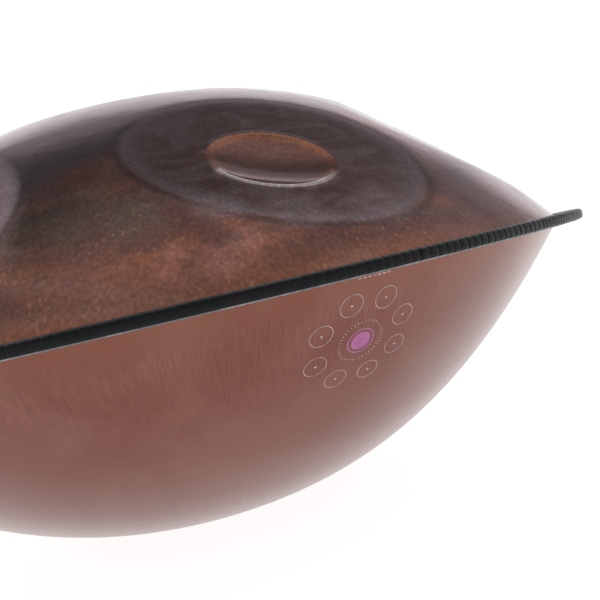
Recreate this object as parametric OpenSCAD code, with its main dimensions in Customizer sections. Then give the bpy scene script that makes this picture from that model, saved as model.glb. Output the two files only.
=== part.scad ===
// Handpan: two steel shells bonded at a flange, with an edge trim round the rim.
// Millimetres. +Z is up along the axis of symmetry, and the lowest note faces -Y.
// The origin is the centre of the resting ring, where the axis meets the floor.

/* [Body] */
// Diameter over the edge trim
pan_d = 530; // [500:1:560]
// Radius where the shells leave the flange
rim_r = 251.5; // [247:0.5:252]
// Height of the playing side's curve above the rim plane, before the centre note is worked
top_h = 129; // [120:1:135]
// Power of the playing side's curve, where more is boxier
top_power = 2.51; // [2.3:0.01:2.6]
// Depth of the lower shell from the rim plane to the resting ring
bottom_h = 129; // [120:1:135]
// Power of the lower shell's curve
bottom_power = 2.45; // [2.3:0.01:2.6]
// Thickness of the steel sheet
sheet = 1.2; // [0.8:0.1:1.6]

/* [Port] */
// Radius of the port's neck
port_r = 56; // [45:1:58]
// Height of the neck above the floor
neck_h = 24; // [15:1:35]
// Radius of the bend from the resting ring into the neck
port_bend = 5; // [4:0.5:6]
// Outer radius of the flat resting ring
rest_r = 68; // [66:1:80]

/* [Notes] */
// Radius of the circle that the outer notes sit on
notes_r = 190; // [186:1:192]
// How far the lowest note's middle is sunk below the dome
low_sink = 5.1; // [4:0.1:5.3]
// Turn of each note's long axis away from the rim's direction
note_turn = 26; // [0:1:30]
// Depth of the dimple in a note's middle
dimple_depth = 4; // [2:0.1:5]
// Dimple's length over the note's length
dimple_share = 0.42; // [0.35:0.01:0.45]
// Dimple's width over its own length
dimple_aspect = 0.82; // [0.7:0.01:0.9]
// How far the lowest note's dimple lies down the dome from the note's middle
dimple_drop = 7.8; // [0:0.1:9]
// Radius of the centre note's flattened field
ding_r = 104; // [90:1:108]
// How far the centre note's field is sunk
ding_sink = 5; // [3:0.1:6]
// Radius of the raised dome in the centre note
ding_dome_r = 44; // [30:1:50]
// Height of that dome
ding_dome_h = 9; // [5:0.5:12]

/* [Rim] */
// Outer radius of the shells' flanges
flange_r = 262; // [258:0.5:262]
// Thickness of the glue between the flanges
glue_t = 0.4; // [0.2:0.1:0.8]
// Height of the edge trim
trim_h = 5.6; // [5:0.1:7]
// Corner radius of the edge trim
trim_corner = 2; // [1:0.1:2.2]
// Radius at the trim's inner lips
trim_lip_r = 252.2; // [252.2:0.1:254]
// Thickness of the steel carrier inside the trim
core_t = 0.5; // [0.4:0.1:0.6]
// Clearance between the carrier and the flanges, filled by the rubber
core_gap = 0.45; // [0.4:0.05:0.6]
// Bearing of the trim's butt joint, turned from -Y towards +X
joint_bearing = 21; // [0:1:359]
// Opening of the butt joint
joint_gap = 0.6; // [0.4:0.1:1]

/* [Hidden] */
$fn = 180;

rim_z = bottom_h;
trim_r = pan_d / 2;
flange_top = rim_z + glue_t / 2 + sheet;
flange_bottom = rim_z - glue_t / 2 - sheet;
slot_h = flange_top - flange_bottom;
overcut = 1;

// How far inside rim_r each surface meets the flange: outer face, mouth edge, inner face
outer_in = 0.2;
mouth_in = 0.6;
inner_in = 1.6;

// Outer notes in their order round the ring: bearing from -Y towards +X, length
NOTES = [
  [18.5, 143],
  [63, 134],
  [109, 126],
  [152, 116],
  [193, 108],
  [234, 104],
  [277, 112],
  [327, 126]
];
longest = NOTES[0][1];

// Height of the plain dome curve over the rim plane, and its slope
function curve(r, h, power) = h * (1 - pow(r / rim_r, power));
function curve_slope(r, h, power) = -h * power / rim_r * pow(r / rim_r, power - 1);

// A worked patch: full depth in the middle, nothing at its edge
function patch(r, edge, power) = r < edge ? pow(1 - pow(r / edge, 2), power) : 0;

// Height of the playing side, with the centre note
function top_z(r) = rim_z + curve(r, top_h, top_power)
  - ding_sink * patch(r, ding_r, 1) + ding_dome_h * patch(r, ding_dome_r, 1.5);

// Depth factor that brings the lower curve to the floor at the resting ring
bottom_full = bottom_h / (1 - pow(rest_r / rim_r, bottom_power));
function bottom_z(r) = rim_z - curve(r, bottom_full, bottom_power);

// Slope of the playing side (side 1) or of the lower shell (side -1)
probe = 0.05;
function side_z(r, side) = side > 0 ? top_z(r) : bottom_z(r);
function slope_at(r, side) = (side_z(r + probe, side) - side_z(r - probe, side)) / (2 * probe);

// Point of a curve moved by a distance along its normal, towards the inside of the shell
function moved(r, inset, side) = let (s = slope_at(r, side), n = sqrt(1 + s * s))
  [r + side * s / n * inset, side_z(r, side) - side * inset / n];

// Radii at which the curves are drawn, from the rim inwards
dome_step = 17;
field_step = 15;
ding_step = 5.5;
bowl_step = 14;
ring_margin = 8;
top_stations = concat(
  [for (r = [rim_r - 1 : -dome_step : ding_r + overcut]) r],
  [for (r = [ding_r : -field_step : ding_dome_r + ring_margin]) r],
  [for (r = [ding_dome_r : -ding_step : ding_step / 2]) r]
);
bottom_stations = [for (r = [rim_r - 1 : -bowl_step : rest_r + ring_margin]) r];

// Half section of the playing side's solid, whose surface is inset inside the sheet's outer face
module top_half_section(inset, foot_r, foot_z) {
  polygon(concat(
    [[0, foot_z], [foot_r, foot_z]],
    inset == 0 ? [[foot_r, flange_top], [rim_r - outer_in, flange_top]] : [],
    [for (r = top_stations) moved(r, inset, 1)],
    [[0, top_z(0) - inset]]
  ));
}

// Places children in a note's own frame: X along it, Y up the dome, Z out of the dome
module at_note(bearing) {
  rotate([0, 0, bearing])
    translate([0, -notes_r, rim_z + curve(notes_r, top_h, top_power)])
      rotate([lean_at_notes, 0, 0])
        rotate([0, 0, -note_turn])
          children();
}

// Lean of the dome at the ring of notes, and its curvature round the ring, up it and along a note
lean_at_notes = -atan(curve_slope(notes_r, top_h, top_power));
round_curv = sin(lean_at_notes) / notes_r;
up_curv = top_h * top_power * (top_power - 1) / pow(rim_r, 2)
  * pow(notes_r / rim_r, top_power - 2) * pow(cos(lean_at_notes), 3);
long_curv = round_curv * pow(cos(note_turn), 2) + up_curv * pow(sin(note_turn), 2);

// A shorter note is sunk less, so that all notes keep one curvature
function sink(len) = low_sink * pow(len / longest, 2);
barrel_r = 1 / (long_curv - 2 * low_sink / pow(longest / 2, 2));

// Radius of a circle through the ends of a chord, from its half length and its rise
function arc_r(half, rise) = (half * half + rise * rise) / (2 * rise);

// What is pressed away to leave one note: the space outside a barrel that is straight up the dome
cut_half = 100;
cut_h = 60;
cut_below = 8;
module note_cut(len, inset) {
  difference() {
    translate([-cut_half, -cut_half, -sink(len) - inset - cut_below])
      cube([2 * cut_half, 2 * cut_half, cut_h]);
    translate([0, 0, -sink(len) - barrel_r])
      rotate([90, 0, 0])
        cylinder(r = barrel_r - inset, h = 3 * cut_half, center = true, $fn = 720);
  }
}

// The dimple's bowl: a spindle that lies along the note
spindle_bow = 0.85;
spindle_margin = 6;
spindle_steps = 6;
module dimple_cut(len, inset) {
  half_l = len * dimple_share / 2;
  half_w = half_l * dimple_aspect;
  mid_r = arc_r(half_w, dimple_depth);
  bow_r = arc_r(half_l, dimple_depth * spindle_bow);
  end = half_l + spindle_margin;
  translate([0, -dimple_drop * len / longest, -sink(len) - dimple_depth + mid_r])
    rotate([0, 90, 0])
      rotate_extrude()
        polygon(concat([[0, -end]],
          [for (i = [-spindle_steps : spindle_steps]) let (s = end * i / spindle_steps)
            [mid_r + inset - bow_r + sqrt(bow_r * bow_r - s * s), s]],
          [[0, end]]));
}

// Solid under the playing side, with its notes pressed in
module top_solid(inset, foot_r, foot_z) {
  difference() {
    rotate_extrude() top_half_section(inset, foot_r, foot_z);
    for (n = NOTES)
      at_note(n[0]) {
        note_cut(n[1], inset);
        dimple_cut(n[1], inset);
      }
  }
}

module top_shell() {
  color([0.36, 0.25, 0.22])
    difference() {
      top_solid(0, flange_r, rim_z + glue_t / 2);
      top_solid(sheet, rim_r - mouth_in, rim_z - overcut);
    }
}

// Lower shell in section: flange, bowl, resting ring and the neck turned in round the port
module bottom_section() {
  ring_r = port_r + port_bend;
  inner_bend = port_bend - sheet;
  bend_step = 15;
  inner_rest_r = rest_r - outer_in / 2;
  polygon(concat(
    [[flange_r, rim_z - glue_t / 2], [flange_r, flange_bottom], [rim_r - outer_in, flange_bottom]],
    [for (r = bottom_stations) [r, bottom_z(r)]],
    [[rest_r, 0]],
    [for (a = [0 : bend_step : 90]) [ring_r - port_bend * sin(a), port_bend - port_bend * cos(a)]],
    [[port_r, neck_h], [port_r + sheet, neck_h]],
    [for (a = [90 : -bend_step : 0]) [ring_r - inner_bend * sin(a), port_bend - inner_bend * cos(a)]],
    [[inner_rest_r, sheet]],
    [for (i = [len(bottom_stations) - 1 : -1 : 0]) moved(bottom_stations[i], sheet, -1)],
    [[rim_r - inner_in, rim_z - glue_t / 2]]
  ));
}

module bottom_shell() {
  color([0.50, 0.33, 0.29])
    rotate_extrude() bottom_section();
}

module glue_bond() {
  color([0.20, 0.20, 0.20])
    translate([0, 0, rim_z - glue_t / 2])
      difference() {
        cylinder(r = flange_r, h = glue_t);
        translate([0, 0, -overcut])
          cylinder(r = rim_r - mouth_in, h = glue_t + 2 * overcut);
      }
}

// Section of the steel carrier: a channel round the flanges, whose legs stop short of the lips
lip_cover = 1;
module core_section() {
  half = slot_h / 2 + core_gap;
  web_r = flange_r + core_gap;
  leg_r = trim_lip_r + lip_cover;
  difference() {
    translate([leg_r, rim_z - half - core_t])
      square([web_r + core_t - leg_r, 2 * (half + core_t)]);
    translate([trim_lip_r, rim_z - half])
      square([web_r - trim_lip_r, 2 * half]);
  }
}

// Section of the jacket: a rounded channel that grips the flanges
module jacket_section() {
  difference() {
    union() {
      translate([trim_lip_r, rim_z - trim_h / 2])
        square([trim_r - trim_corner - trim_lip_r, trim_h]);
      translate([trim_r - 2 * trim_corner, rim_z - trim_h / 2 + trim_corner])
        square([2 * trim_corner, trim_h - 2 * trim_corner]);
      for (side = [-1, 1])
        translate([trim_r - trim_corner, rim_z + side * (trim_h / 2 - trim_corner)])
          circle(r = trim_corner, $fn = 48);
    }
    translate([trim_lip_r - overcut, rim_z - slot_h / 2])
      square([flange_r - trim_lip_r + overcut, slot_h]);
    core_section();
  }
}

// Sweeps a section round the rim and leaves the butt joint open
module rim_sweep(gap) {
  gap_angle = gap / trim_r * 180 / PI;
  rotate([0, 0, joint_bearing - 90 + gap_angle / 2])
    rotate_extrude(angle = 360 - gap_angle) children();
}

module trim_jacket() {
  color([0.12, 0.13, 0.13])
    rim_sweep(joint_gap) jacket_section();
}

module trim_core() {
  color([0.55, 0.56, 0.58])
    rim_sweep(joint_gap) core_section();
}

top_shell();
bottom_shell();
glue_bond();
trim_jacket();
trim_core();
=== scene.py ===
import math
from collections import namedtuple

import bpy
import numpy as np
from mathutils import Matrix, Vector


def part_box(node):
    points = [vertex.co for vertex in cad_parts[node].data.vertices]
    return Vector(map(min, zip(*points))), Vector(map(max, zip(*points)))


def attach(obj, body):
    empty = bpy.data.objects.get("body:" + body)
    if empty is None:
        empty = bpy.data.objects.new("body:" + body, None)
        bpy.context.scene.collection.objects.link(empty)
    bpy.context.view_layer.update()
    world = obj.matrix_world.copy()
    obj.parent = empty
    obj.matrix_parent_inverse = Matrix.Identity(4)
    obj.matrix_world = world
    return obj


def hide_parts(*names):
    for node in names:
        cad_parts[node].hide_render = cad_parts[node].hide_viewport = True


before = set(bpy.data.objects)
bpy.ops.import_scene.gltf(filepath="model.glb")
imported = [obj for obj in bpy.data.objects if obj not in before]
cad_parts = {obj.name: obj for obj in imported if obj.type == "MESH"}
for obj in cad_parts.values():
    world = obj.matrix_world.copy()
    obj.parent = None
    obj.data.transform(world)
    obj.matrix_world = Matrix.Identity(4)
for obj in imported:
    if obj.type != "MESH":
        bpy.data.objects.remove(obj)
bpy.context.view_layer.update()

MM = 0.001

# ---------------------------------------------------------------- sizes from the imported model

TOP_LOW, TOP_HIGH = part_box("top_shell")
BOTTOM_LOW, BOTTOM_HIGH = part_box("bottom_shell")
TRIM_LOW, TRIM_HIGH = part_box("trim_jacket")
RIM_Z = (TRIM_LOW.z + TRIM_HIGH.z) / 2
TRIM_R = (TRIM_HIGH.x - TRIM_LOW.x) / 2
TRIM_HALF_H = (TRIM_HIGH.z - TRIM_LOW.z) / 2
FLANGE_R = (BOTTOM_HIGH.x - BOTTOM_LOW.x) / 2
GLUE_HALF = (TOP_LOW.z - BOTTOM_HIGH.z) / 2

# ---------------------------------------------------------------- the design's own values

SHEET = 1.2 * MM
RIM_R = 251.5 * MM
TOP_H = 129 * MM
TOP_POWER = 2.51
BOTTOM_H = RIM_Z
BOTTOM_POWER = 2.45
REST_R = 68 * MM
PORT_R = 56 * MM
NECK_H = 24 * MM
PORT_BEND = 5 * MM
FLANGE_TOP = RIM_Z + GLUE_HALF + SHEET
FLANGE_BOTTOM = RIM_Z - GLUE_HALF - SHEET

NOTES_R = 190 * MM
LOW_SINK = 5.1 * MM
NOTE_TURN = math.radians(26)
DIMPLE_DEPTH = 4 * MM
DIMPLE_SHARE = 0.42
DIMPLE_ASPECT = 0.82
DIMPLE_DROP = 7.8 * MM
SPINDLE_BOW = 0.85
DING_R = 104 * MM
DING_SINK = 5 * MM
DING_DOME_R = 44 * MM
DING_DOME_H = 9 * MM
# Outer notes: bearing from -Y towards +X in degrees, and length
NOTES = [
    (18.5, 143 * MM),
    (63, 134 * MM),
    (109, 126 * MM),
    (152, 116 * MM),
    (193, 108 * MM),
    (234, 104 * MM),
    (277, 112 * MM),
    (327, 126 * MM),
]
LONGEST = NOTES[0][1]

TRIM_LIP_R = 252.2 * MM
TRIM_CORNER = 2 * MM
JOINT_BEARING = 21
JOINT_GAP = 0.6 * MM


# ---------------------------------------------------------------- mesh helpers


def link(obj):
    bpy.context.scene.collection.objects.link(obj)
    return obj


def mesh_object(name, points, faces, sharp_angle=35):
    """A smooth-shaded mesh object with creases where faces meet at more than sharp_angle."""
    mesh = bpy.data.meshes.new(name)
    mesh.from_pydata([tuple(p) for p in points], [], faces)
    mesh.validate()
    mesh.shade_smooth()
    mesh.set_sharp_from_angle(angle=math.radians(sharp_angle))
    return link(bpy.data.objects.new(name, mesh))


def ring_faces(rows, columns, close_rows=False, close_columns=True):
    """Quads over a grid of rows and columns, stored row by row."""
    faces = []
    last_row = rows if close_rows else rows - 1
    last_column = columns if close_columns else columns - 1
    for i in range(last_row):
        a = i * columns
        b = ((i + 1) % rows) * columns
        for j in range(last_column):
            k = (j + 1) % columns
            faces.append((a + j, a + k, b + k, b + j))
    return faces


def finish_piece(obj, node, material):
    obj.data.materials.append(material)
    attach(obj, "root")
    if node:
        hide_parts(node)
    return obj


def soft_positive(x, width):
    """x where it is positive and 0 where it is negative, with a bend of about this width."""
    t = np.clip(x / width, -30, 30)
    return np.where(t > 25, x, width * np.log1p(np.exp(t)))


# ---------------------------------------------------------------- shell curves


def curve(r, height, power):
    return height * (1 - (r / RIM_R) ** power)


def patch(r, edge, power):
    return np.clip(1 - (r / edge) ** 2, 0, None) ** power


def top_z(r):
    """Height of the playing side with the centre note, before the outer notes are pressed in."""
    dome = RIM_Z + curve(r, TOP_H, TOP_POWER)
    return dome - DING_SINK * patch(r, DING_R, 1) + DING_DOME_H * patch(r, DING_DOME_R, 1.5)


BOTTOM_FULL = BOTTOM_H / (1 - (REST_R / RIM_R) ** BOTTOM_POWER)


def bottom_z(r):
    return RIM_Z - curve(r, BOTTOM_FULL, BOTTOM_POWER)


def slope_of(height, r):
    step = 0.05 * MM
    return (height(r + step) - height(r - step)) / (2 * step)


def inset(height, r, distance, side):
    """Points of a curve moved into the shell along its normal."""
    s = slope_of(height, r)
    n = np.sqrt(1 + s * s)
    return r + side * s / n * distance, height(r) - side * distance / n


def note_frame(bearing):
    """A note's own frame: X along it, Y up the dome, Z out of the dome."""
    slope = -TOP_H * TOP_POWER / RIM_R * (NOTES_R / RIM_R) ** (TOP_POWER - 1)
    lean = -math.atan(slope)
    place = Vector((0, -NOTES_R, RIM_Z + float(curve(NOTES_R, TOP_H, TOP_POWER))))
    return (
        Matrix.Rotation(math.radians(bearing), 4, "Z")
        @ Matrix.Translation(place)
        @ Matrix.Rotation(lean, 4, "X")
        @ Matrix.Rotation(-NOTE_TURN, 4, "Z")
    )


def barrel_radius():
    """Radius of the barrel that a note is pressed to: the same for all, and straight up the dome."""
    slope = TOP_H * TOP_POWER / RIM_R * (NOTES_R / RIM_R) ** (TOP_POWER - 1)
    lean = math.atan(slope)
    round_curv = math.sin(lean) / NOTES_R
    bend = TOP_H * TOP_POWER * (TOP_POWER - 1) / RIM_R**2
    up_curv = bend * (NOTES_R / RIM_R) ** (TOP_POWER - 2) * math.cos(lean) ** 3
    turn = NOTE_TURN
    long_curv = round_curv * math.cos(turn) ** 2 + up_curv * math.sin(turn) ** 2
    return 1 / (long_curv - 2 * LOW_SINK / (LONGEST / 2) ** 2)


BARREL_R = barrel_radius()
# Half side of the cut that a note is pressed with
CUT_HALF = 100 * MM
# Bends at the edges of the notes and of the dimples
NOTE_CREASE = 0.40 * MM
DIMPLE_LIP = 0.05 * MM
# Height and half width of the ridge round a dimple
RIDGE_H = 0.28 * MM
RIDGE_W = 1.4 * MM
# How far from its middle a dimple's bowl is looked for, in its own half lengths
DIMPLE_REACH = 1.3


def arc_r(half, rise):
    return (half**2 + rise**2) / (2 * rise)


def press_note(points, bearing, length, depth_in):
    """Presses one note and its dimple into points of the dome; depth_in is the sheet's inset.

    Returns the points and three measures of each: how far it lies inside the note and inside the
    dimple, from 1 in the middle over 0 at the edge to negative outside, and how much it is part of
    the lip on the dimple's downhill side, where a highlight is painted.
    """
    to_world = np.array(note_frame(bearing))
    to_note = np.linalg.inv(to_world)
    local = points @ to_note[:3, :3].T + to_note[:3, 3]
    x, y, z = local[:, 0], local[:, 1], local[:, 2]
    sink = LOW_SINK * (length / LONGEST) ** 2
    near = (np.abs(x) < CUT_HALF) & (np.abs(y) < CUT_HALF) & (z > -CUT_HALF)
    across = np.clip(x, -CUT_HALF, CUT_HALF)
    floor_z = -sink - BARREL_R + np.sqrt((BARREL_R - depth_in) ** 2 - across**2)
    in_note = np.where(near, np.clip((z - floor_z) / sink, -1, 1), -1)
    z = z - np.where(near, soft_positive(z - floor_z, NOTE_CREASE), 0)
    half_l = length * DIMPLE_SHARE / 2
    half_w = half_l * DIMPLE_ASPECT
    mid_r = arc_r(half_w, DIMPLE_DEPTH)
    bow_r = arc_r(half_l, DIMPLE_DEPTH * SPINDLE_BOW)
    y_bowl = y + DIMPLE_DROP * length / LONGEST
    end_l, end_w = half_l * DIMPLE_REACH, half_w * DIMPLE_REACH
    inside = (np.abs(x) < end_l) & (np.abs(y_bowl) < end_w)
    bow = mid_r + depth_in - bow_r + np.sqrt(bow_r**2 - np.clip(x, -end_l, end_l) ** 2)
    bowl_z = -sink - DIMPLE_DEPTH + mid_r - np.sqrt(bow**2 - np.clip(y_bowl, -end_w, end_w) ** 2)
    z = z - np.where(inside, soft_positive(z - bowl_z, DIMPLE_LIP), 0)
    from_middle = np.hypot(x / half_l, y_bowl / half_w)
    off_edge = (from_middle - 1) * half_w
    ridge = np.where(near, np.exp(-((off_edge / RIDGE_W) ** 2)), 0)
    local[:, 2] = z + RIDGE_H * ridge
    # lip: the downhill side of the ridge, where a pale painted highlight goes
    lip = ridge * np.clip(-y_bowl / half_w, 0, 1)
    in_dimple = np.where(near, np.clip(1 - from_middle**2, -1, 1), -1)
    return local @ to_world[:3, :3].T + to_world[:3, 3], in_note, in_dimple, lip


# ---------------------------------------------------------------- top shell

# Spacing of the mesh columns in degrees, between the dimples and over them
COLUMN_COARSE = 1.2
COLUMN_FINE = 0.36
DIMPLE_MARGIN = 3 * MM
# Mesh rows in millimetres: radius from, radius to, spacing
TOP_OUTER_ROWS = [
    (1.5, 100, 4),
    (100, 108, 1),
    (108, 168, 3),
    (168, 222, 1),
    (222, 247, 3),
    (247, 252.5, 0.6),
]
TOP_INNER_ROWS = [(248.5, 128, 4), (128, 1.5, 10)]
BOTTOM_OUTER_ROWS = [(252.5, 246, 0.5), (246, 72, 2)]
BOTTOM_INNER_ROWS = [(72, 250, 4)]
# Bend between a shell and its flange, and bevel of the flange's edge
FLANGE_BEND = 0.25 * MM
EDGE_BEVEL = 0.2 * MM
TOP_MOUTH_R = RIM_R - 1.5 * MM
BOTTOM_MOUTH_R = RIM_R - 1.6 * MM


def top_columns():
    """Angles of the mesh columns, closer together where the dimples are."""
    dimples = []
    for bearing, length in NOTES:
        reach = length * DIMPLE_SHARE / 2 + DIMPLE_MARGIN
        dimples.append((bearing, math.degrees(reach / NOTES_R)))
    angles = []
    a = 0.0
    while a < 360 - COLUMN_FINE / 2:
        angles.append(a)
        in_dimple = any(abs((a - bearing + 180) % 360 - 180) < reach for bearing, reach in dimples)
        a += COLUMN_FINE if in_dimple else COLUMN_COARSE
    return np.radians(np.array(angles) - 90)


def row_radii(rows):
    """Radii of mesh rows, without the last end."""
    radii = []
    for start, stop, size in rows:
        count = max(1, round(abs(stop - start) / size))
        radii += [start + (stop - start) * i / count for i in range(count)]
    return np.array(radii) * MM


def top_shell():
    columns = top_columns()
    outer_r = row_radii(TOP_OUTER_ROWS)
    outer_z = FLANGE_TOP + soft_positive(top_z(outer_r) - FLANGE_TOP, FLANGE_BEND)
    inner_r, inner_z = inset(top_z, row_radii(TOP_INNER_ROWS), SHEET, 1)
    cos, sin = np.cos(columns), np.sin(columns)

    def sweep(radii, heights):
        x = np.outer(radii, cos)
        y = np.outer(radii, sin)
        z = np.outer(heights, np.ones_like(cos))
        return np.stack([x, y, z], axis=-1).reshape(-1, 3)

    outer = sweep(outer_r, outer_z)
    inner = sweep(inner_r, inner_z)
    marks = {name: np.full(len(outer), -1.0) for name in ("note", "dimple", "lip")}
    for bearing, length in NOTES:
        outer, in_note, in_dimple, lip = press_note(outer, bearing, length, 0.0)
        inner = press_note(inner, bearing, length, SHEET)[0]
        marks["note"] = np.maximum(marks["note"], in_note)
        marks["dimple"] = np.maximum(marks["dimple"], in_dimple)
        marks["lip"] = np.maximum(marks["lip"], lip)
    outer[:, 2] = np.maximum(outer[:, 2], FLANGE_TOP)
    flange = sweep(
        [FLANGE_R - EDGE_BEVEL, FLANGE_R, FLANGE_R, TOP_MOUTH_R],
        [FLANGE_TOP, FLANGE_TOP - EDGE_BEVEL, TOP_LOW.z, TOP_LOW.z],
    )
    body = np.concatenate([outer, flange, inner])
    count = len(columns)
    row_total = len(body) // count
    points = np.concatenate([body, [[0, 0, float(top_z(0.0))], [0, 0, float(top_z(0.0)) - SHEET]]])
    faces = [tuple(reversed(f)) for f in ring_faces(row_total, count)]
    top_pole = len(body)
    last = (row_total - 1) * count
    for j in range(count):
        k = (j + 1) % count
        faces.append((top_pole, j, k))
        faces.append((top_pole + 1, last + k, last + j))
    shell = mesh_object("top_shell_skin", points, faces)
    for name, values in marks.items():
        padded = np.concatenate([values, np.full(len(points) - len(values), -1.0)])
        layer = shell.data.attributes.new(name, "FLOAT", "POINT")
        layer.data.foreach_set("value", padded.astype(np.float32))
    return shell


# ---------------------------------------------------------------- bottom shell


def arc(centre, radius, start, stop, count):
    """Points of an arc in the plane of radius and height, between two angles in degrees."""
    points = []
    for i in range(count):
        a = math.radians(start + (stop - start) * i / (count - 1))
        points.append((centre[0] + radius * math.cos(a), centre[1] + radius * math.sin(a)))
    return points


def bottom_section():
    """The lower shell's section as one closed loop of radius and height."""
    bend_centre = (PORT_R + PORT_BEND, PORT_BEND)
    lip = SHEET / 2
    loop = [(FLANGE_R, RIM_Z - GLUE_HALF)]
    loop += [(FLANGE_R, FLANGE_BOTTOM + EDGE_BEVEL), (FLANGE_R - EDGE_BEVEL, FLANGE_BOTTOM)]
    outer_r = row_radii(BOTTOM_OUTER_ROWS)
    outer_z = FLANGE_BOTTOM - soft_positive(FLANGE_BOTTOM - bottom_z(outer_r), FLANGE_BEND)
    loop += [(float(r), float(z)) for r, z in zip(outer_r, outer_z)]
    loop += [(REST_R + 1 * MM, 0.1 * MM), (REST_R, 0.0), (bend_centre[0] + 2 * MM, 0.0)]
    loop += arc(bend_centre, PORT_BEND, 270, 180, 13)
    loop += arc((PORT_R + lip, NECK_H - lip), lip, 180, 0, 9)
    loop += arc(bend_centre, PORT_BEND - SHEET, 180, 270, 13)
    loop.append((REST_R - 0.1 * MM, SHEET))
    inner_r, inner_z = inset(bottom_z, row_radii(BOTTOM_INNER_ROWS), SHEET, -1)
    loop += [(float(r), float(z)) for r, z in zip(inner_r, inner_z)]
    loop.append((BOTTOM_MOUTH_R, RIM_Z - GLUE_HALF))
    return loop


def bottom_shell():
    loop = bottom_section()
    count = 480
    angles = np.arange(count) * 2 * math.pi / count
    points = []
    for r, z in loop:
        points += [(r * math.cos(a), r * math.sin(a), z) for a in angles]
    faces = ring_faces(len(loop), count, close_rows=True)
    return mesh_object("bottom_shell_skin", points, faces)


# ---------------------------------------------------------------- edge trim

RIB_PITCH = 4.15 * MM
RIB_DEPTH = 0.23 * MM
# Places of the mesh stations along a rib, and half width of the groove between ribs, as shares of a rib
RIB_PHASES = (0.0, 0.05, 0.11, 0.25, 0.55, 0.87, 0.95)
GROOVE_HALF = 0.06
RIB_UNEVENNESS = 0.14
RIB_SEED = 7
# How deep the grooves are on the trim's flat sides, as a share of their depth at the edge
SIDE_GROOVE = 0.6
TRIM_LIP_ROUND = 0.35 * MM


def trim_section():
    """The trim's section as a closed loop: radius, height above the rim plane, and how much it is ribbed."""
    slot = FLANGE_TOP - RIM_Z
    side = TRIM_HALF_H
    upper = [(FLANGE_R, slot, 0.0), (TRIM_LIP_R, slot, 0.0)]
    upper += [(TRIM_LIP_R, side - TRIM_LIP_ROUND, 0.0), (TRIM_LIP_R + TRIM_LIP_ROUND, side, 0.3)]
    upper += [(TRIM_LIP_R + 4 * MM, side, 1.0), (TRIM_LIP_R + 8 * MM, side, 1.0)]
    corner = arc((TRIM_R - TRIM_CORNER, side - TRIM_CORNER), TRIM_CORNER, 90, 0, 9)
    upper += [(r, z, 1.0) for r, z in corner]
    upper.append((TRIM_R, 0.3 * MM, 1.0))
    lower = [(r, -z, rib) for r, z, rib in reversed(upper)]
    return upper + lower


def trim_stations(total):
    """Angles along the trim with the groove's depth there, over ribs of slightly uneven width."""
    rng = np.random.default_rng(RIB_SEED)
    ribs = round(total * TRIM_R / RIB_PITCH)
    widths = 1 + rng.uniform(-RIB_UNEVENNESS, RIB_UNEVENNESS, ribs)
    edges = np.concatenate([[0], np.cumsum(widths)]) / widths.sum() * total
    stations = []
    for i in range(ribs):
        for phase in RIB_PHASES:
            groove = math.exp(-((min(phase, 1 - phase) / GROOVE_HALF) ** 2))
            stations.append((edges[i] + (edges[i + 1] - edges[i]) * phase, groove))
    stations.append((total, 0.0))
    return stations


def trim_jacket():
    gap = JOINT_GAP / TRIM_R
    start = math.radians(JOINT_BEARING - 90) + gap / 2
    stations = trim_stations(2 * math.pi - gap)
    section = trim_section()
    web = TRIM_R - TRIM_CORNER * 1.01
    points = []
    for angle, groove in stations:
        a = start + angle
        for r, z, ribbed in section:
            cut = RIB_DEPTH * groove * ribbed
            rr = r - cut if r > web else r
            zz = z - math.copysign(cut * SIDE_GROOVE, z)
            points.append((rr * math.cos(a), rr * math.sin(a), RIM_Z + zz))
    count = len(section)
    faces = [tuple(reversed(f)) for f in ring_faces(len(stations), count)]
    last = (len(stations) - 1) * count
    for i in range(count // 2 - 1):
        j = count - 1 - i
        faces.append((i, i + 1, j - 1, j))
        faces.append((last + j, last + j - 1, last + i + 1, last + i))
    return mesh_object("trim_jacket_skin", points, faces, sharp_angle=50)


# ---------------------------------------------------------------- engraved marks

MARKS_BEARING = math.radians(18.4)
MARKS_R = 227 * MM
MARKS_RING_R = 22 * MM
MARK_COUNT = 8
MARK_R = 5.3 * MM
LINE_W = 0.26 * MM
DOT_R = 0.6 * MM
TICKS = 40
TICKS_R = 10.6 * MM
TICK_L = 1.1 * MM
BADGE_R = 4.8 * MM
BADGE_RING_R = BADGE_R + 1.6 * MM
BADGE_RING_W = 0.7 * MM
DASHES = 7
DASH_R = 248.5 * MM
DASH_PITCH = 2.3 * MM
DASH_L = 1.4 * MM
DASH_W = 0.5 * MM
MARK_LIFT = 0.04 * MM
MARK_SINK = 0.06 * MM


def on_bowl(u, v, lift):
    """A point of the lower shell's face: u along the rim and v down the bowl from the marks' centre."""
    slope = float(slope_of(bottom_z, MARKS_R))
    r = MARKS_R - v / math.sqrt(1 + slope * slope)
    angle = MARKS_BEARING - math.pi / 2 + u / r
    out, z = inset(bottom_z, r, -lift, -1)
    return (float(out) * math.cos(angle), float(out) * math.sin(angle), float(z))


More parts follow.
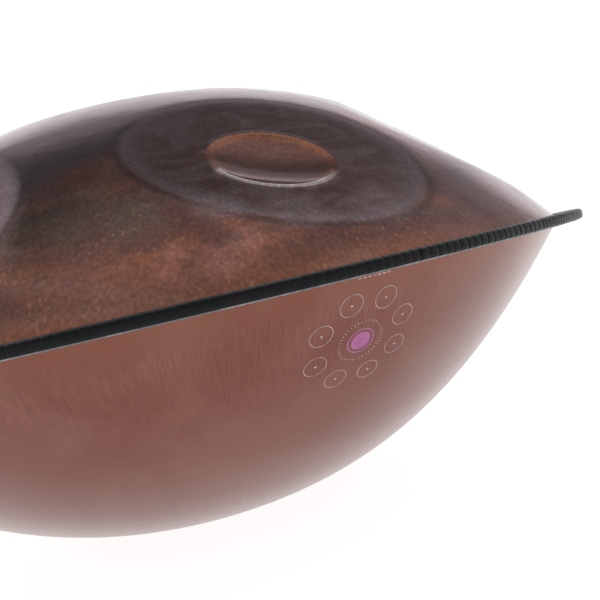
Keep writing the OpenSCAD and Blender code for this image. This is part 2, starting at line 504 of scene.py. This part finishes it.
class Marks:
    """Collects thin closed shapes that lie on the lower shell."""

    def __init__(self):
        self.points = []
        self.faces = []

    def line(self, path, width, closed):
        """A flat bar of this width along a path of (u, v, across u, across v)."""
        start = len(self.points)
        for u, v, au, av in path:
            for side, lift in ((-1, MARK_LIFT), (1, MARK_LIFT), (1, -MARK_SINK), (-1, -MARK_SINK)):
                off = side * width / 2
                self.points.append(on_bowl(u + au * off, v + av * off, lift))
        count = len(path)
        for face in ring_faces(count, 4, close_rows=closed):
            self.faces.append(tuple(start + k for k in face))
        if not closed:
            end = start + 4 * (count - 1)
            self.faces.append((start + 3, start + 2, start + 1, start))
            self.faces.append((end, end + 1, end + 2, end + 3))

    def ring(self, u, v, radius, width=LINE_W, count=40):
        turns = [2 * math.pi * i / count for i in range(count)]
        path = []
        for a in turns:
            path.append((u + radius * math.cos(a), v + radius * math.sin(a), math.cos(a), math.sin(a)))
        self.line(path, width, True)

    def disc(self, u, v, radius, count=24):
        start = len(self.points)
        turns = [2 * math.pi * i / count for i in range(count)]
        for lift in (MARK_LIFT, -MARK_SINK):
            for a in turns:
                self.points.append(on_bowl(u + radius * math.cos(a), v + radius * math.sin(a), lift))
        upper = len(self.points)
        self.points.append(on_bowl(u, v, MARK_LIFT))
        self.points.append(on_bowl(u, v, -MARK_SINK))
        for i in range(count):
            k = (i + 1) % count
            self.faces.append((upper, start + i, start + k))
            self.faces.append((upper + 1, start + count + k, start + count + i))
            self.faces.append((start + i, start + count + i, start + count + k, start + k))

    def bar(self, u, v, along, length, width=LINE_W):
        """A straight dash whose direction is the angle along."""
        du, dv = math.cos(along) * length / 2, math.sin(along) * length / 2
        across = (-math.sin(along), math.cos(along))
        self.line([(u - du, v - dv, *across), (u + du, v + dv, *across)], width, False)


def pale_marks():
    """Eight rings with a dot each, a ring of ticks and a row of dashes: a plain generic pattern."""
    marks = Marks()
    for i in range(MARK_COUNT):
        a = 2 * math.pi * (i + 0.5) / MARK_COUNT
        u, v = MARKS_RING_R * math.cos(a), MARKS_RING_R * math.sin(a)
        marks.ring(u, v, MARK_R)
        marks.disc(u, v, DOT_R)
    for i in range(TICKS):
        a = 2 * math.pi * i / TICKS
        marks.bar(TICKS_R * math.cos(a), TICKS_R * math.sin(a), a, TICK_L)
    slope = float(slope_of(bottom_z, MARKS_R))
    dash_v = (MARKS_R - DASH_R) * math.sqrt(1 + slope * slope)
    for i in range(DASHES):
        marks.bar((i - (DASHES - 1) / 2) * DASH_PITCH, dash_v, 0.0, DASH_L, DASH_W)
    return mesh_object("pale_marks", marks.points, marks.faces)


def purple_badge():
    """The plain disc and ring in the middle of the marks."""
    marks = Marks()
    marks.disc(0, 0, BADGE_R)
    marks.ring(0, 0, BADGE_RING_R, BADGE_RING_W)
    return mesh_object("purple_badge", marks.points, marks.faces)


# ---------------------------------------------------------------- materials


class Nodes:
    """Adds and joins the nodes of one node tree."""

    def __init__(self, tree):
        self.tree = tree

    def put(self, socket, value):
        if isinstance(value, bpy.types.NodeSocket):
            self.tree.links.new(value, socket)
        else:
            socket.default_value = value

    def place(self):
        return self.tree.nodes.new("ShaderNodeTexCoord").outputs["Object"]

    def attribute(self, name):
        node = self.tree.nodes.new("ShaderNodeAttribute")
        node.attribute_name = name
        return node.outputs["Fac"]

    def vector(self, operation, a, b=(0, 0, 0)):
        node = self.tree.nodes.new("ShaderNodeVectorMath")
        node.operation = operation
        self.put(node.inputs[0], a)
        self.put(node.inputs[1], b)
        return node.outputs["Value" if operation in ("LENGTH", "DISTANCE") else "Vector"]

    def math(self, operation, a, b=0.0):
        node = self.tree.nodes.new("ShaderNodeMath")
        node.operation = operation
        self.put(node.inputs[0], a)
        self.put(node.inputs[1], b)
        return node.outputs[0]

    def noise(self, vector, scale, detail=3.0, distortion=0.0):
        node = self.tree.nodes.new("ShaderNodeTexNoise")
        self.put(node.inputs["Vector"], vector)
        node.inputs["Scale"].default_value = scale
        node.inputs["Detail"].default_value = detail
        node.inputs["Distortion"].default_value = distortion
        return node.outputs[0]

    def ease(self, value, low, high, to_low=0.0, to_high=1.0):
        """A smooth step of value from low to high."""
        node = self.tree.nodes.new("ShaderNodeMapRange")
        node.interpolation_type = "SMOOTHSTEP"
        self.put(node.inputs["Value"], value)
        node.inputs["From Min"].default_value = low
        node.inputs["From Max"].default_value = high
        node.inputs["To Min"].default_value = to_low
        node.inputs["To Max"].default_value = to_high
        return node.outputs[0]

    def cloud(self, place, cloud):
        """Strength of a cloud at each place."""
        return self.ease(self.noise(place, cloud.scale, cloud.detail, cloud.warp), *cloud.fade)

    def mix(self, factor, a, b, blend="MIX"):
        """Colour a turned into colour b by the factor; 6, 7 and 2 are the node's colour sockets."""
        node = self.tree.nodes.new("ShaderNodeMix")
        node.data_type = "RGBA"
        node.blend_type = blend
        self.put(node.inputs["Factor"], factor)
        for socket, value in ((node.inputs[6], a), (node.inputs[7], b)):
            self.put(socket, value if isinstance(value, bpy.types.NodeSocket) else (*value, 1))
        return node.outputs[2]

    def radius(self, place):
        """Distance from the object's axis."""
        return self.vector("LENGTH", self.vector("MULTIPLY", place, (1, 1, 0)))

    def axes(self, vector):
        """The vector's X, Y and Z."""
        node = self.tree.nodes.new("ShaderNodeSeparateXYZ")
        self.put(node.inputs[0], vector)
        return node.outputs[0], node.outputs[1], node.outputs[2]


class Graph(Nodes):
    """The nodes of one material round its Principled shader."""

    def __init__(self, name, metallic, roughness):
        self.material = bpy.data.materials.new(name)
        self.material.use_nodes = True
        super().__init__(self.material.node_tree)
        self.shader = self.tree.nodes["Principled BSDF"]
        self.shader.inputs["Metallic"].default_value = metallic
        self.shader.inputs["Roughness"].default_value = roughness

    def bump(self, height, distance, strength=1.0):
        node = self.tree.nodes.new("ShaderNodeBump")
        node.inputs["Strength"].default_value = strength
        node.inputs["Distance"].default_value = distance
        self.put(node.inputs["Height"], height)
        self.put(self.shader.inputs["Normal"], node.outputs[0])

    def colour(self, value):
        self.put(self.shader.inputs["Base Color"], value)

    def rough(self, value):
        self.put(self.shader.inputs["Roughness"], value)


DARK_STEEL = (0.100, 0.047, 0.040)
LIGHT_STEEL = (0.155, 0.071, 0.057)
HAZY_STEEL = (0.165, 0.098, 0.090)
PALE_REFLECTION_PAINT = (0.270, 0.200, 0.205)
PINK_HIGHLIGHT_PAINT = (0.290, 0.125, 0.100)
ORANGE_STEEL = (0.235, 0.094, 0.052)
PAINTED_GLINT_GOLD = (0.420, 0.250, 0.160)
GREY_STEEL = (0.098, 0.076, 0.062)
BLUE_STEEL = (0.056, 0.045, 0.048)
COOL_DARK = (0.096, 0.052, 0.044)
COOL_LIGHT = (0.140, 0.095, 0.094)
MARGIN_STEEL = (0.172, 0.136, 0.150)
VIOLET_STEEL = (0.110, 0.064, 0.078)
DIMPLE_STEEL = (0.132, 0.060, 0.044)
PAINTED_CREASE_SHADE = (0.060, 0.036, 0.034)
LIP_HIGHLIGHT_PAINT = (0.640, 0.560, 0.560)
EDGE_TINT = (0.97, 0.92, 0.97, 1)
RED_STEEL = (0.197, 0.077, 0.061)
PINK_STEEL = (0.226, 0.103, 0.082)
CORNER_HIGHLIGHT_PAINT = (0.30, 0.31, 0.335)
RUBBER_GREEN = (0.005, 0.0075, 0.0075)
RUBBER_VIOLET = (0.010, 0.0075, 0.011)

# A cloud is a noise's scale, detail and warp, and the fade that turns it into a strength.
# A fade is where a measure starts and ends, and the result at its start and at its end.
Cloud = namedtuple("Cloud", "scale detail warp fade")
BASE_CLOUD = Cloud(13, 6, 0.6, (0.36, 0.64, 0.0, 1.0))
HAZE_CLOUD = Cloud(20, 5, 1.0, (0.48, 0.68, 0.0, 0.75))
WARM_CLOUD = Cloud(27, 6, 0.6, (0.55, 0.72, 0.0, 0.5))
COLD_CLOUD = Cloud(11, 5, 0.5, (0.56, 0.70, 0.0, 0.6))
PINK_CLOUD = Cloud(17, 5, 0.6, (0.36, 0.66, 0.0, 0.8))
RUBBER_CLOUD = Cloud(60, 4, 0.0, (0.35, 0.65, 0.0, 1.0))
LEVEL_BANDS = (1, 1, 2.4)

# Patches of the playing side, heat colours and also one painted highlight and one painted reflection: their
# spots by bearing in degrees, radius and size, the fade of the ragged noise that tears them, and their
# strength
HeatAndSheenPatch = namedtuple("HeatAndSheenPatch", "spots fade strength")
ORANGE_PATCH = HeatAndSheenPatch(
    [
        (-6, 196 * MM, 17 * MM),
        (-12, 231 * MM, 15 * MM),
        (-17, 229 * MM, 15 * MM),
        (-5, 237 * MM, 12 * MM),
        (2, 236 * MM, 13 * MM),
        (9, 235 * MM, 20 * MM),
        (24, 229 * MM, 15 * MM),
    ],
    (0.30, 0.65),
    0.6,
)
BLUE_PATCH = HeatAndSheenPatch(
    [(-4, 166 * MM, 20 * MM), (-10, 172 * MM, 20 * MM), (-16, 181 * MM, 22 * MM)], (0.25, 0.5), 1.0
)
GREY_PATCH = HeatAndSheenPatch(
    [(-9, 211 * MM, 24 * MM), (-15, 212 * MM, 24 * MM), (-2, 217 * MM, 18 * MM)], (0.2, 0.55), 0.65
)
# painted highlight: a bright pink spot just inside the rim, painted into the colour as a glint
PAINTED_PINK_HIGHLIGHT = HeatAndSheenPatch(
    [(1, 237 * MM, 11 * MM), (5, 238 * MM, 12 * MM), (8, 234 * MM, 9 * MM)], (0.35, 0.65), 0.75
)
# painted reflection: pale lavender streaks below the first note stand in for a reflection of the bright
# studio
PAINTED_PALE_REFLECTION = HeatAndSheenPatch(
    [(15, 226 * MM, 14 * MM), (25, 229 * MM, 16 * MM), (7, 217 * MM, 14 * MM)], (0.2, 0.6), 0.38
)
# A spot is whole within the first share of its size and gone at the second
SPOT_CORE = 0.25
SPOT_EDGE = 1.25

# Playing side by radius: violet crown, orange band at the rim, and where the painted golden glints are
CROWN_FADE = (150 * MM, 185 * MM, 0.65, 0.0)
TOP_RIM_FADE = (240 * MM, 250 * MM, 0.0, 0.45)
GLINT_ZONE = (195 * MM, 225 * MM)

# Notes: wavy grey and violet inside, pale margin, and a dark outline of painted crease shade just outside
# the edge
WAVY_STRETCH = (1, 1, 2.6)
WAVY_CLOUD = Cloud(26, 5, 1.6, (0.40, 0.60))
MARGIN_WAVER = 0.5
MARGIN_FADE = (0.32, 0.62, 0.8, 0.0)
NOTE_RAGGEDNESS = 0.16
NOTE_FADE = (0.05, 0.20, 0.0, 0.85)
OUTLINE_OUT = 0.03
OUTLINE_FADE = (0.0, 0.10, 0.70, 0.0)
DIMPLE_WARMTH = (0.0, 0.45)
DIMPLE_FADE = (-0.02, 0.06, 0.0, 0.85)
LIP_HIGHLIGHT_FADE = (0.12, 0.6, 0.0, 0.95)

# Playing side's fine detail: polishing strokes, painted golden glints, gloss and the waves of hammering
RAGGED_SCALE = 70
RAGGED_DETAIL = 6
STROKE_STRETCH = (620, 620, 170)
STROKE_DETAIL = 3
STROKE_FADE = (0.32, 0.68, 0.84, 1.16)
STROKE_RELIEF = 0.05
GLINT_FADE = (0.60, 0.72, 0.0, 0.28)
GLINT_TEAR = (0.45, 0.6)
TOP_ROUGHNESS = (0.3, 0.7, 0.09, 0.18)
HAMMER_STRETCH = (1, 1, 1.8)
HAMMER_SCALE = 34
HAMMER_DEPTH = 0.32 * MM

# Lower shell: streaks round the axis and up the bowl, by radius
STREAK_ROUND = (380, 380, 0)
STREAK_UP = (0, 0, 130)
STREAK_DETAIL = 6
STREAK_FADE = (0.28, 0.72, 0.80, 1.18)
STREAK_ZONE = (190 * MM, 236 * MM, 0.06, 0.60)
STREAK_LOSS = 0.5
STREAK_DEPTH = 0.05 * MM
BOTTOM_RIM_ZONE = (237 * MM, 248 * MM)
BOTTOM_RIM_ORANGE = 0.22
BOTTOM_ROUGHNESS = (0.3, 0.7, 0.20, 0.25)

# Trim: painted highlight lines along both outer corners, and a dull speckled gloss
CORNER_HIGHLIGHT_ZONE = (TRIM_R - 2.0 * MM, TRIM_R - 1.5 * MM)
LOWER_CORNER_HIGHLIGHT = (RIM_Z - TRIM_HALF_H + 0.35 * MM, RIM_Z - TRIM_HALF_H + 0.70 * MM, 0.80, 0.0)
UPPER_CORNER_HIGHLIGHT = (RIM_Z + TRIM_HALF_H - 0.60 * MM, RIM_Z + TRIM_HALF_H - 0.30 * MM, 0.0, 0.22)
CORNER_HIGHLIGHT_TINT = (0.0, 1.0, 0.55, 1.0)
RUBBER_ROUGHNESS = (0.3, 0.7, 0.30, 0.46)
RUBBER_SPECULAR = 0.16
RUBBER_GRAIN = 700
RUBBER_GRAIN_DEPTH = 0.04 * MM


def heat_and_sheen_spots(graph, place, spots):
    """The strongest of several soft spots at places on the playing side."""
    total = None
    for bearing, radius, size in spots:
        a = math.radians(bearing - 90)
        centre = (radius * math.cos(a), radius * math.sin(a), float(top_z(radius)))
        distance = graph.vector("DISTANCE", place, centre)
        spot = graph.ease(distance, size * SPOT_CORE, size * SPOT_EDGE, 1.0, 0.0)
        total = spot if total is None else graph.math("MAXIMUM", total, spot)
    return total


def patch_strength(graph, place, ragged, heat_and_sheen_patch):
    """Strength of a patch at each place, torn by the ragged noise; some patches are heat colours, two are
    painted light.
    """
    spots = heat_and_sheen_spots(graph, place, heat_and_sheen_patch.spots)
    torn = graph.math("MULTIPLY", spots, graph.ease(ragged, *heat_and_sheen_patch.fade))
    return graph.math("MULTIPLY", torn, heat_and_sheen_patch.strength)


def heat_colours(graph, place, ragged):
    """Brown steel with haze, orange, blue and grey patches, a violet crown and an orange rim."""
    banded = graph.vector("MULTIPLY", place, LEVEL_BANDS)
    colour = graph.mix(graph.cloud(banded, BASE_CLOUD), DARK_STEEL, LIGHT_STEEL)
    colour = graph.mix(graph.cloud(banded, HAZE_CLOUD), colour, HAZY_STEEL)
    near_warm = patch_strength(graph, place, ragged, ORANGE_PATCH)
    warm = graph.math("MAXIMUM", graph.cloud(banded, WARM_CLOUD), near_warm)
    colour = graph.mix(warm, colour, ORANGE_STEEL)
    near_cold = patch_strength(graph, place, ragged, BLUE_PATCH)
    cold = graph.math("MAXIMUM", graph.cloud(place, COLD_CLOUD), near_cold)
    colour = graph.mix(cold, colour, BLUE_STEEL)
    colour = graph.mix(patch_strength(graph, place, ragged, GREY_PATCH), colour, GREY_STEEL)
    colour = graph.mix(graph.ease(graph.radius(place), *CROWN_FADE), colour, VIOLET_STEEL)
    return graph.mix(graph.ease(graph.radius(place), *TOP_RIM_FADE), colour, ORANGE_STEEL)


def note_colours(graph, place, colour, ragged):
    """Grey-violet notes with a pale margin and a dark outline of painted crease shade, brown dimples and
    lips with a painted highlight.
    """
    note, dimple = graph.attribute("note"), graph.attribute("dimple")
    stretched = graph.vector("MULTIPLY", place, WAVY_STRETCH)
    wavy = graph.noise(stretched, WAVY_CLOUD.scale, WAVY_CLOUD.detail, WAVY_CLOUD.warp)
    cool = graph.mix(graph.ease(wavy, *WAVY_CLOUD.fade), COOL_DARK, COOL_LIGHT)
    wavy_note = graph.math("ADD", note, graph.math("MULTIPLY", wavy, MARGIN_WAVER))
    cool = graph.mix(graph.ease(wavy_note, *MARGIN_FADE), cool, MARGIN_STEEL)
    ragged_note = graph.math("ADD", note, graph.math("MULTIPLY", ragged, NOTE_RAGGEDNESS))
    colour = graph.mix(graph.ease(ragged_note, *NOTE_FADE), colour, cool)
    # painted shade: a dark line just outside each note's edge stands in for the shade in its crease
    off_outline = graph.math("ABSOLUTE", graph.math("ADD", note, OUTLINE_OUT))
    colour = graph.mix(graph.ease(off_outline, *OUTLINE_FADE), colour, PAINTED_CREASE_SHADE)
    warm = graph.mix(graph.ease(dimple, *DIMPLE_WARMTH), ORANGE_STEEL, DIMPLE_STEEL)
    colour = graph.mix(graph.ease(dimple, *DIMPLE_FADE), colour, warm)
    # painted highlight: a pale colour on the dimples' downhill lips stands in for the bright reflection
    # there
    return graph.mix(graph.ease(graph.attribute("lip"), *LIP_HIGHLIGHT_FADE), colour, LIP_HIGHLIGHT_PAINT)


def stroke_colours(graph, place, colour, strokes, ragged):
    """Polishing strokes, with painted golden glints (painted highlights) among them near the rim."""
    colour = graph.mix(1.0, colour, graph.ease(strokes, *STROKE_FADE), "MULTIPLY")
    low = graph.ease(graph.radius(place), *GLINT_ZONE)
    glints = graph.math("MULTIPLY", graph.ease(strokes, *GLINT_FADE), low)
    torn = graph.math("MULTIPLY", glints, graph.ease(ragged, *GLINT_TEAR))
    # painted highlight: golden glints painted into the colour near the rim
    return graph.mix(torn, colour, PAINTED_GLINT_GOLD)


def patina_steel():
    graph = Graph("patina_steel", 1.0, 0.15)
    graph.shader.inputs["Specular Tint"].default_value = EDGE_TINT
    place = graph.place()
    ragged = graph.noise(place, RAGGED_SCALE, RAGGED_DETAIL)
    strokes = graph.noise(graph.vector("MULTIPLY", place, STROKE_STRETCH), 1.0, STROKE_DETAIL)
    colour = heat_colours(graph, place, ragged)
    colour = note_colours(graph, place, colour, ragged)
    # painted highlight: the pink glint spot above the trim
    colour = graph.mix(patch_strength(graph, place, ragged, PAINTED_PINK_HIGHLIGHT), colour, PINK_HIGHLIGHT_PAINT)
    # painted reflection: pale streaks below the first note
    colour = graph.mix(patch_strength(graph, place, ragged, PAINTED_PALE_REFLECTION), colour, PALE_REFLECTION_PAINT)
    graph.colour(stroke_colours(graph, place, colour, strokes, ragged))
    graph.rough(graph.ease(ragged, *TOP_ROUGHNESS))
    waves = graph.noise(graph.vector("MULTIPLY", place, HAMMER_STRETCH), HAMMER_SCALE, 2, 0.6)
    relief = graph.math("ADD", waves, graph.math("MULTIPLY", strokes, STROKE_RELIEF))
    graph.bump(relief, HAMMER_DEPTH, 0.8)
    return graph.material


def brown_steel():
    graph = Graph("brown_steel", 1.0, 0.3)
    place = graph.place()
    flat = graph.vector("NORMALIZE", graph.vector("MULTIPLY", place, (1, 1, 0)))
    up_the_bowl = graph.vector("MULTIPLY", place, STREAK_UP)
    streak_place = graph.vector("ADD", graph.vector("MULTIPLY", flat, STREAK_ROUND), up_the_bowl)
    streak = graph.noise(streak_place, 1.0, STREAK_DETAIL)
    colour = graph.mix(graph.cloud(place, PINK_CLOUD), RED_STEEL, PINK_STEEL)
    band = graph.ease(graph.radius(place), *BOTTOM_RIM_ZONE)
    colour = graph.mix(graph.math("MULTIPLY", band, BOTTOM_RIM_ORANGE), colour, ORANGE_STEEL)
    brushed = graph.ease(graph.radius(place), *STREAK_ZONE)
    strength = graph.math("SUBTRACT", brushed, graph.math("MULTIPLY", band, STREAK_LOSS))
    colour = graph.mix(strength, colour, graph.ease(streak, *STREAK_FADE), "MULTIPLY")
    graph.colour(colour)
    graph.rough(graph.ease(streak, *BOTTOM_ROUGHNESS))
    graph.bump(streak, STREAK_DEPTH, 0.5)
    return graph.material


def trim_rubber():
    graph = Graph("trim_rubber", 0.0, 0.36)
    place = graph.place()
    tint = graph.cloud(place, RUBBER_CLOUD)
    colour = graph.mix(tint, RUBBER_GREEN, RUBBER_VIOLET)
    _, _, height = graph.axes(place)
    # painted highlight: pale lines along the trim's outer corners stand in for the reflections there
    outer = graph.ease(graph.radius(place), *CORNER_HIGHLIGHT_ZONE)
    lines = graph.math("ADD", graph.ease(height, *LOWER_CORNER_HIGHLIGHT), graph.ease(height, *UPPER_CORNER_HIGHLIGHT))
    corner_highlight = graph.math("MULTIPLY", graph.math("MULTIPLY", lines, outer), graph.ease(tint, *CORNER_HIGHLIGHT_TINT))
    graph.colour(graph.mix(corner_highlight, colour, CORNER_HIGHLIGHT_PAINT))
    graph.rough(graph.ease(graph.noise(place, 320, 4), *RUBBER_ROUGHNESS))
    graph.shader.inputs["Specular IOR Level"].default_value = RUBBER_SPECULAR
    graph.bump(graph.noise(place, RUBBER_GRAIN, 3), RUBBER_GRAIN_DEPTH, 0.5)
    return graph.material


# Finishes of two close tones: dark tone, light tone, roughness, metallic, noise scale
PALE_INK = ((0.36, 0.25, 0.24), (0.58, 0.46, 0.46), 0.5, 0.0, 300)
PURPLE_INK = ((0.30, 0.075, 0.22), (0.42, 0.12, 0.30), 0.5, 0.0, 300)
GLUE = ((0.05, 0.05, 0.05), (0.08, 0.08, 0.078), 0.5, 0.0, 200)
CARRIER_STEEL = ((0.48, 0.49, 0.50), (0.60, 0.61, 0.62), 0.35, 1.0, 90)
ROUGHNESS_SPREAD = 0.06


def plain_procedural(name, dark, light, roughness, metallic, scale):
    """Two close tones of one finish, mixed by noise."""
    graph = Graph(name, metallic, roughness)
    noise = graph.noise(graph.place(), scale, 4)
    graph.colour(graph.mix(graph.ease(noise, 0.3, 0.7), dark, light))
    low, high = roughness - ROUGHNESS_SPREAD, roughness + ROUGHNESS_SPREAD
    graph.rough(graph.ease(noise, 0.3, 0.7, low, high))
    return graph.material


TABLE_DARK = (0.34, 0.34, 0.34)
TABLE_LIGHT = (0.36, 0.36, 0.36)
FLOOR_GLOW = 0.92
FLOOR_GAP = 0.2 * MM
FLOOR_R = 6


def light_table():
    """A studio light table: pale acrylic lit from below."""
    graph = Graph("light_table", 0.0, 0.8)
    tone = graph.ease(graph.noise(graph.place(), 3, 2), 0.3, 0.7)
    graph.colour(graph.mix(tone, TABLE_DARK, TABLE_LIGHT))
    graph.shader.inputs["Emission Color"].default_value = (1, 1, 1, 1)
    graph.shader.inputs["Emission Strength"].default_value = FLOOR_GLOW
    return graph.material


# ---------------------------------------------------------------- build

finish_piece(top_shell(), "top_shell", patina_steel())
finish_piece(bottom_shell(), "bottom_shell", brown_steel())
finish_piece(trim_jacket(), "trim_jacket", trim_rubber())
finish_piece(pale_marks(), None, plain_procedural("pale_ink", *PALE_INK))
finish_piece(purple_badge(), None, plain_procedural("purple_ink", *PURPLE_INK))
glue = plain_procedural("glue", *GLUE)
carrier = plain_procedural("carrier_steel", *CARRIER_STEEL)
for node, material in (("glue_bond", glue), ("trim_core", carrier)):
    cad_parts[node].data.materials.clear()
    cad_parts[node].data.materials.append(material)

# ---------------------------------------------------------------- camera, light and floor

CAMERA_DISTANCE = 0.530
CAMERA_RISE = 0.0058
CAMERA_YAW = math.radians(9.12)
CAMERA_DIP = math.radians(2.39)
CAMERA_ROLL = math.radians(12.95)
CAMERA_LENS = 46.36


def make_camera():
    data = bpy.data.cameras.new("camera")
    data.sensor_width = 36
    data.lens = CAMERA_LENS
    data.clip_start = 0.01
    camera = link(bpy.data.objects.new("camera", data))
    forward = Vector(
        (
            math.sin(CAMERA_YAW) * math.cos(CAMERA_DIP),
            math.cos(CAMERA_YAW) * math.cos(CAMERA_DIP),
            -math.sin(CAMERA_DIP),
        )
    )
    level = Vector((math.cos(CAMERA_YAW), -math.sin(CAMERA_YAW), 0))
    down = forward.cross(level)
    right = level * math.cos(CAMERA_ROLL) + down * math.sin(CAMERA_ROLL)
    low = down * math.cos(CAMERA_ROLL) - level * math.sin(CAMERA_ROLL)
    place = Vector((0, -CAMERA_DISTANCE, RIM_Z + CAMERA_RISE))
    turn = Matrix((right, -low, -forward)).transposed().to_4x4()
    camera.matrix_world = Matrix.Translation(place) @ turn
    bpy.context.scene.camera = camera
    return camera


# The studio's brightness by direction: a fade of each component, with its levels at the ends
STRIP_SLANT = -0.28
STRIP_SHIFT = 0.08
CEILING_FADE = (0.08, 0.46, 1.0, 0.30)
WALL_SLANT = 0.12
LOW_WALL_FADE = (0.50, 0.60, 0.0, 0.52)
HIGH_WALL_FADE = (0.69, 0.79, 0.0, 0.56)
SIDE_FADE = (-0.44, -0.30, 0.95, 0.0)
FRONT_FADE = (-0.45, -0.10, 0.35, 1.0)


def make_world():
    """A pale studio: bright wall behind and at the left, bright ceiling, dim strip between, dim front."""
    world = bpy.data.worlds.new("studio")
    bpy.context.scene.world = world
    world.use_nodes = True
    nodes = Nodes(world.node_tree)
    nodes.tree.nodes.clear()
    direction = nodes.tree.nodes.new("ShaderNodeTexCoord").outputs["Generated"]
    x, y, _ = nodes.axes(direction)
    strip_y = nodes.math("ADD", nodes.math("ADD", y, STRIP_SHIFT), nodes.math("MULTIPLY", x, STRIP_SLANT))
    ceiling = nodes.ease(strip_y, *CEILING_FADE)
    wall_y = nodes.math("ADD", y, nodes.math("MULTIPLY", x, WALL_SLANT))
    wall = nodes.math("ADD", nodes.ease(wall_y, *LOW_WALL_FADE), nodes.ease(wall_y, *HIGH_WALL_FADE))
    side = nodes.ease(x, *SIDE_FADE)
    brightest = nodes.math("MAXIMUM", nodes.math("MAXIMUM", ceiling, wall), side)
    front = nodes.ease(y, *FRONT_FADE)
    back = nodes.tree.nodes.new("ShaderNodeBackground")
    out = nodes.tree.nodes.new("ShaderNodeOutputWorld")
    back.inputs["Color"].default_value = (1, 1, 1, 1)
    nodes.put(back.inputs["Strength"], nodes.math("MULTIPLY", brightest, front))
    nodes.put(out.inputs["Surface"], back.outputs[0])


def make_floor():
    bpy.ops.mesh.primitive_circle_add(vertices=96, radius=FLOOR_R, fill_type="NGON")
    floor = bpy.context.object
    floor.name = "floor"
    floor.location.z = -FLOOR_GAP
    floor.data.materials.append(light_table())


bpy.context.scene.view_settings.view_transform = "Standard"
make_camera()
make_world()
make_floor()
